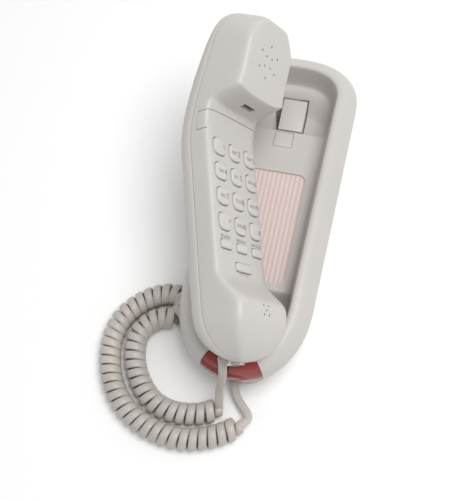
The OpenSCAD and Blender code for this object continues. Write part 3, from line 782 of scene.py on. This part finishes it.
def front_ring(v, inner=False, grow=0.0, bent=True):
    """One row of the front's skin: grow moves it off the surface, bent makes it follow the cap's edge."""
    k = SKIN if inner else 1.0
    ring = []
    for a, b in front_shares_at(v):
        u = grip_at(v) * a
        vv = v + bend(u, v) if bent else v
        h = front_at(u, vv, 3 if inner else 0) * b
        pull = 0 if inner else groove(v, h)
        w = seam_at(vv) + h * k
        ring.append(Vector((u * k + math.copysign(1, a) * ((grow - pull) if abs(a) > 0.3 else 0),
                            along(vv, inner) + bow(v, w), w + (grow if b > 0.5 else 0))))
    return ring


def back_ring(v, inner=False):
    """One row of the back's skin."""
    k = SKIN if inner else 1.0
    ring = []
    for a, b in BACK_SHARES:
        h = back_at(v) * b
        pull = 0 if inner else groove(v, -h)
        w = seam_at(v) - SEAM_GAP + h * k
        ring.append(Vector((grip_at(v) * a * k - math.copysign(pull, a), along(v, inner) + bow(v, w), w)))
    return ring


def hand_stations():
    """Rows along the handset, close together at its ends and over the neck."""
    low = [HAND_LOW + MOUTH_ROUND * (1 - math.cos(math.radians(a))) for a in spaced(3, 88, 34)]
    high = [HAND_HIGH - EAR_ROUND * (1 - math.cos(math.radians(a))) for a in spaced(88, 2, 44)]
    return (low + spaced(-65, -40, 26) + spaced(-37, 34, 18) + spaced(36, 52, 17) + spaced(52.5, 60, 26)
            + spaced(61, 82.5, 16) + high)


def half_shell(name, outer, inner, tips):
    """An outer and an inner skin of rows, closed by a tip at each end and by the edge between them."""
    n, m = len(outer), len(outer[0])
    size = n * m
    points = [p for row in outer + inner for p in row] + tips
    faces = []
    for i in range(n - 1):
        for j in range(m - 1):
            a = i * m + j
            faces.append((a, a + m, a + m + 1, a + 1))
            faces.append((size + a, size + a + 1, size + a + m + 1, size + a + m))
        a, b = i * m, (i + 1) * m
        c, d = a + m - 1, b + m - 1
        faces.append((a, size + a, size + b, b))
        faces.append((c, d, size + d, size + c))
    low_out, high_out, low_in, high_in = range(2 * size, 2 * size + 4)
    for j in range(m - 1):
        faces.append((low_out, j, j + 1))
        faces.append((high_out, size - m + j + 1, size - m + j))
        faces.append((low_in, size + j + 1, size + j))
        faces.append((high_in, 2 * size - m + j, 2 * size - m + j + 1))
    e, f = size - m, size - 1
    faces += [(low_out, low_in, size, 0), (low_out, m - 1, size + m - 1, low_in),
              (high_out, e, size + e, high_in), (high_out, high_in, size + f, f)]
    return make_object(name, points, faces, SHELL, HAND)


def tips_at(drop):
    """The end points of both skins, drop below the parting line."""
    return [Vector((0, along(v, inner) + bow(v, seam_at(v) - drop), seam_at(v) - drop))
            for inner in (False, True) for v in (HAND_LOW, HAND_HIGH)]


def hand_prism(outline, w0, w1):
    return prism("cutter", outline, w0, w1, HAND)


def key_outline(at, w, h, power, grow):
    """A rounded key outline, a superellipse about its centre."""
    steps = 40
    out = []
    for k in range(steps):
        a = 2 * math.pi * k / steps
        c, s = math.cos(a), math.sin(a)
        out.append((at[0] + (w / 2 + grow) * math.copysign(abs(c) ** (2 / power), c),
                    at[1] + (h / 2 + grow) * math.copysign(abs(s) ** (2 / power), s)))
    return out


KEY_NAMES = ["1", "2", "3", "4", "5", "6", "7", "8", "9", "star", "0", "pound"]
KEY_MARKS = {"2": "ABC", "3": "DEF", "4": "GHI", "5": "JKL", "6": "MNO", "7": "PRS", "8": "TUV", "9": "WXY",
             "0": "OPER"}
KEY_GAP = 0.42
PITCH_U, PITCH_V, TOP_ROW = 15.5, 14.7, 29
FUNCTION_V, RESET_V = -28.1, -39.3
DIALS = [("key_" + name, (PITCH_U * (i % 3 - 1), TOP_ROW - PITCH_V * (i // 3)), 11.0, 10.0, 3.0)
         for i, name in enumerate(KEY_NAMES)]
FUNCTIONS = [(name, (PITCH_U * column, FUNCTION_V), 10.0, 5.0, 5.0)
             for name, column in (("key_flash", -1), ("key_redial", 0), ("key_volume", 1))]
FUNCTIONS.append(("key_reset", (0, RESET_V), 15.0, 5.0, 6.0))
KEYS_ALL = DIALS + FUNCTIONS


def on_circle(r, degrees):
    return r * math.cos(math.radians(degrees)), r * math.sin(math.radians(degrees))


def round_hole(at, r, w0, w1, tilt=Matrix.Identity(4)):
    outline = [on_circle(r, 18 * k) for k in range(20)]
    return prism("hole", outline, w0, w1, HAND @ tilt @ Matrix.Translation((*at, 0)))


def plug_way():
    """A cutter for the cord's plug at the mouth end."""
    return hand_prism([(-4.15, -96), (4.15, -96), (4.15, -78), (-4.15, -78)], -13.6, -6.4)


PLATE_V, PLATE_EDGE = (38.6, 49.2), 0.35
PLATE_OUT, PLATE_IN, LINE_HALF = 1.0, -0.7, 0.2


def plate_groove():
    """Thin lines round the name plate: over the face at the top, then down and back on the left side."""
    low, high = PLATE_V
    bands = []

    def band(vs, keep):
        rings = []
        for v in vs:
            outer = front_ring(v, grow=PLATE_OUT, bent=False)
            inner = front_ring(v, grow=PLATE_IN, bent=False)
            picked = [i for i, share in enumerate(FRONT_SHARES) if keep(*share)]
            rings.append([outer[i] for i in picked] + [inner[i] for i in picked[::-1]])
        bands.append(loft("groove", rings, None, HAND))

    band((high - LINE_HALF, high + LINE_HALF), lambda a, b: b > PLATE_EDGE)
    band((low - LINE_HALF, low + LINE_HALF), lambda a, b: a < 0 and PLATE_EDGE < b < 0.9)
    first = max(i for i, (a, b) in enumerate(FRONT_SHARES) if a < 0 and b > PLATE_EDGE)
    rings = []
    for v in spaced(low - LINE_HALF, high + LINE_HALF, 6):
        corners = []
        for grow, shift in ((PLATE_OUT, 0), (PLATE_OUT, 0.4), (PLATE_IN, 0.4), (PLATE_IN, 0)):
            ring = front_ring(v, grow=grow, bent=False)
            corners.append(ring[first].lerp(ring[first + 1], shift))
        rings.append(corners)
    bands.append(loft("groove", rings, None, HAND))
    return bands


HOLE_R = 0.75
EAR_TURN = (Matrix.Translation((-2, EAR_V - 1, EAR_W - EAR_LEAN))
            @ Matrix.Rotation(math.atan(EAR_LEAN), 4, "X"))
EAR_HOLES = [(9.2, a) for a in range(30, 390, 60)] + [(3.9, a) for a in range(45, 405, 90)]
MOUTH_HOLES = [(-2.5, -62.5), (2.5, -62.5), (0, -65), (-2.5, -67.5), (2.5, -67.5)]
HANG_SLOT = [(-5.75, 49), (5.75, 49), (5.75, 61), (-5.75, 61)]
SCREW_VS = (-34, 28)
stations = hand_stations()
front = half_shell("handset_front", [front_ring(v) for v in stations],
                   [front_ring(v, True) for v in stations], tips_at(0))
cut(front, [hand_prism(key_outline(at, w, h, p, KEY_GAP), -6, 3) for _, at, w, h, p in KEYS_ALL]
    + [round_hole(on_circle(r, a), HOLE_R, -5, 4, EAR_TURN) for r, a in EAR_HOLES]
    + [round_hole(at, HOLE_R, 4, 18) for at in MOUTH_HOLES]
    + [hand_prism(HANG_SLOT, 9.5, 13.5), plug_way()] + plate_groove())
by_angle(front, 34)
back = half_shell("handset_back", [back_ring(v) for v in stations],
                  [back_ring(v, True) for v in stations], tips_at(SEAM_GAP))
cut(back, [plug_way()] + [round_hole((0, v), 2.9, -31, -24.6) for v in SCREW_VS]
    + [round_hole((0, v), 1.58, -27, -18) for v in SCREW_VS])
by_angle(back, 34)
for piece, node in ((front, "handset_front_shell"), (back, "handset_back_shell")):
    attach(piece, "handset")
    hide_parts(node)
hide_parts("name_plate")


# ---------- keys and print ----------
KEY_PROFILE = [(0.0, -2.4), (0.0, 0.45), (-0.06, 0.75), (-0.22, 1.0), (-0.5, 1.17), (-0.95, 1.26),
               (-1.7, 1.3), (-2.4, 1.3)]


def make_key(name, at, w, h, power):
    """A key cap with a rounded top edge."""
    rings = []
    for grow, z in KEY_PROFILE:
        if grow > -min(w, h) / 2 + 0.3:
            rings.append([Vector((x, y, z)) for x, y in key_outline(at, w, h, power, grow)])
    key = loft(name + "_cap", rings, KEYS, HAND)
    by_angle(key, 50)
    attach(key, name + "_cap")
    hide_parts(name)


def make_print(name, words, body):
    """Printed words as thin raised ink: (text, place, size, width share)."""
    bm = bmesh.new()
    for text, at, size, stretch in words:
        curve = bpy.data.curves.new("ink", "FONT")
        curve.body = text
        curve.size = size
        curve.align_x = "CENTER"
        curve.align_y = "CENTER"
        curve.extrude = 0.02
        curve.resolution_u = 3
        temp = bpy.data.objects.new("ink", curve)
        scene.collection.objects.link(temp)
        mesh = bpy.data.meshes.new_from_object(temp.evaluated_get(bpy.context.evaluated_depsgraph_get()))
        place = HAND @ Matrix.Translation(at) @ Matrix.Diagonal((stretch, 1, 1, 1))
        mesh.transform(Matrix.Scale(MM, 4) @ place)
        bm.from_mesh(mesh)
        bpy.data.objects.remove(temp)
    mesh = bpy.data.meshes.new(name)
    bm.to_mesh(mesh)
    bm.free()
    mesh.materials.append(PRINT)
    ink = bpy.data.objects.new(name, mesh)
    scene.collection.objects.link(ink)
    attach(ink, body)


for name, at, w, h, power in KEYS_ALL:
    make_key(name, at, w, h, power)
CAP_INK, FACE_INK, LEGEND_V = 1.31, 0.03, -23.7
for (name, (u, v), *_), label in zip(DIALS, KEY_NAMES):
    digit = {"star": "*", "pound": "#"}.get(label, label)
    words = [(digit, (u + 3.2, v - 0.2, CAP_INK), 5.0, 1.0)]
    if label in KEY_MARKS:
        words.append((KEY_MARKS[label], (u - 1.3, v - 0.2, CAP_INK), 2.9, 1.1))
    make_print(name + "_print", words, name + "_cap")
LEGENDS = [("FLASH", (-PITCH_U, LEGEND_V, FACE_INK), 2.6, 1.25),
           ("REDIAL", (0, LEGEND_V, FACE_INK), 2.6, 1.2),
           ("HI-VOL", (PITCH_U, LEGEND_V, FACE_INK), 2.6, 1.2),
           ("RESET", (0, -44.0, FACE_INK), 2.6, 1.25)]
make_print("function_print", LEGENDS, "handset")


# ---------- carried-over CAD nodes ----------
SLOT_MATERIALS = {"shell": SHELL, "keys": KEYS, "lens": LENS, "window": WINDOW, "card": CARD,
                  "cord": CORD, "plug": PLUG, "rubber": RUBBER, "membrane": MEMBRANE, "steel": STEEL,
                  "black": BLACK, "board": BOARD}
for part in frame["record"]["subparts"]:
    node = frame["nodes"][part["node"]]
    node.data.materials.clear()
    node.data.materials.append(SLOT_MATERIALS[part["material_slot"]])


# ---------- small parts with rounded edges ----------
SOFT_EDGES = {"hook_lever": ("hook_lever", 0.7), "hang_tab": ("hang_tab", 0.35),
              "base_plate": ("base", 0.6)}
for node, (body, width) in SOFT_EDGES.items():
    piece = softened(node, width)
    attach(piece, body)
    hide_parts(node)


# ---------- floor and light ----------
def make_stage():
    """A pale floor that curves up behind the phone."""
    rows = []
    for y in spaced(-700, 700, 41):
        lift = 600 * smooth(330, 700, y) ** 2
        rows.append([(x, y, TABLE_Z + lift) for x in spaced(-900, 900, 9)])
    floor = loft("floor", rows, None, cap=False, closed=False)
    material = new_material("paper_floor", (0.93, 0.93, 0.93), 0.8)
    tree, shader, where = node_kit(material)
    bump(tree, shader, add_noise(tree, where, 700.0, 3.0), 0.05, 0.0001)
    floor.data.materials.append(material)


def area_light(name, place, target, size, power):
    """A round soft light; places and size are in metres and the power is in watts."""
    data = bpy.data.lights.new(name, "AREA")
    data.shape = "DISK"
    data.size = size
    data.energy = power
    light = bpy.data.objects.new(name, data)
    light.location = place
    light.rotation_euler = (Vector(target) - Vector(place)).to_track_quat("-Z", "Y").to_euler()
    scene.collection.objects.link(light)


make_stage()
world = bpy.data.worlds.new("studio")
world.use_nodes = True
world.node_tree.nodes["Background"].inputs["Color"].default_value = (1, 1, 1, 1)
world.node_tree.nodes["Background"].inputs["Strength"].default_value = 0.53
scene.world = world
area_light("key", (0.28, -0.06, 1.0), (0, 0, 0.03), 0.6, 7.2)
scene.view_settings.view_transform = "Standard"
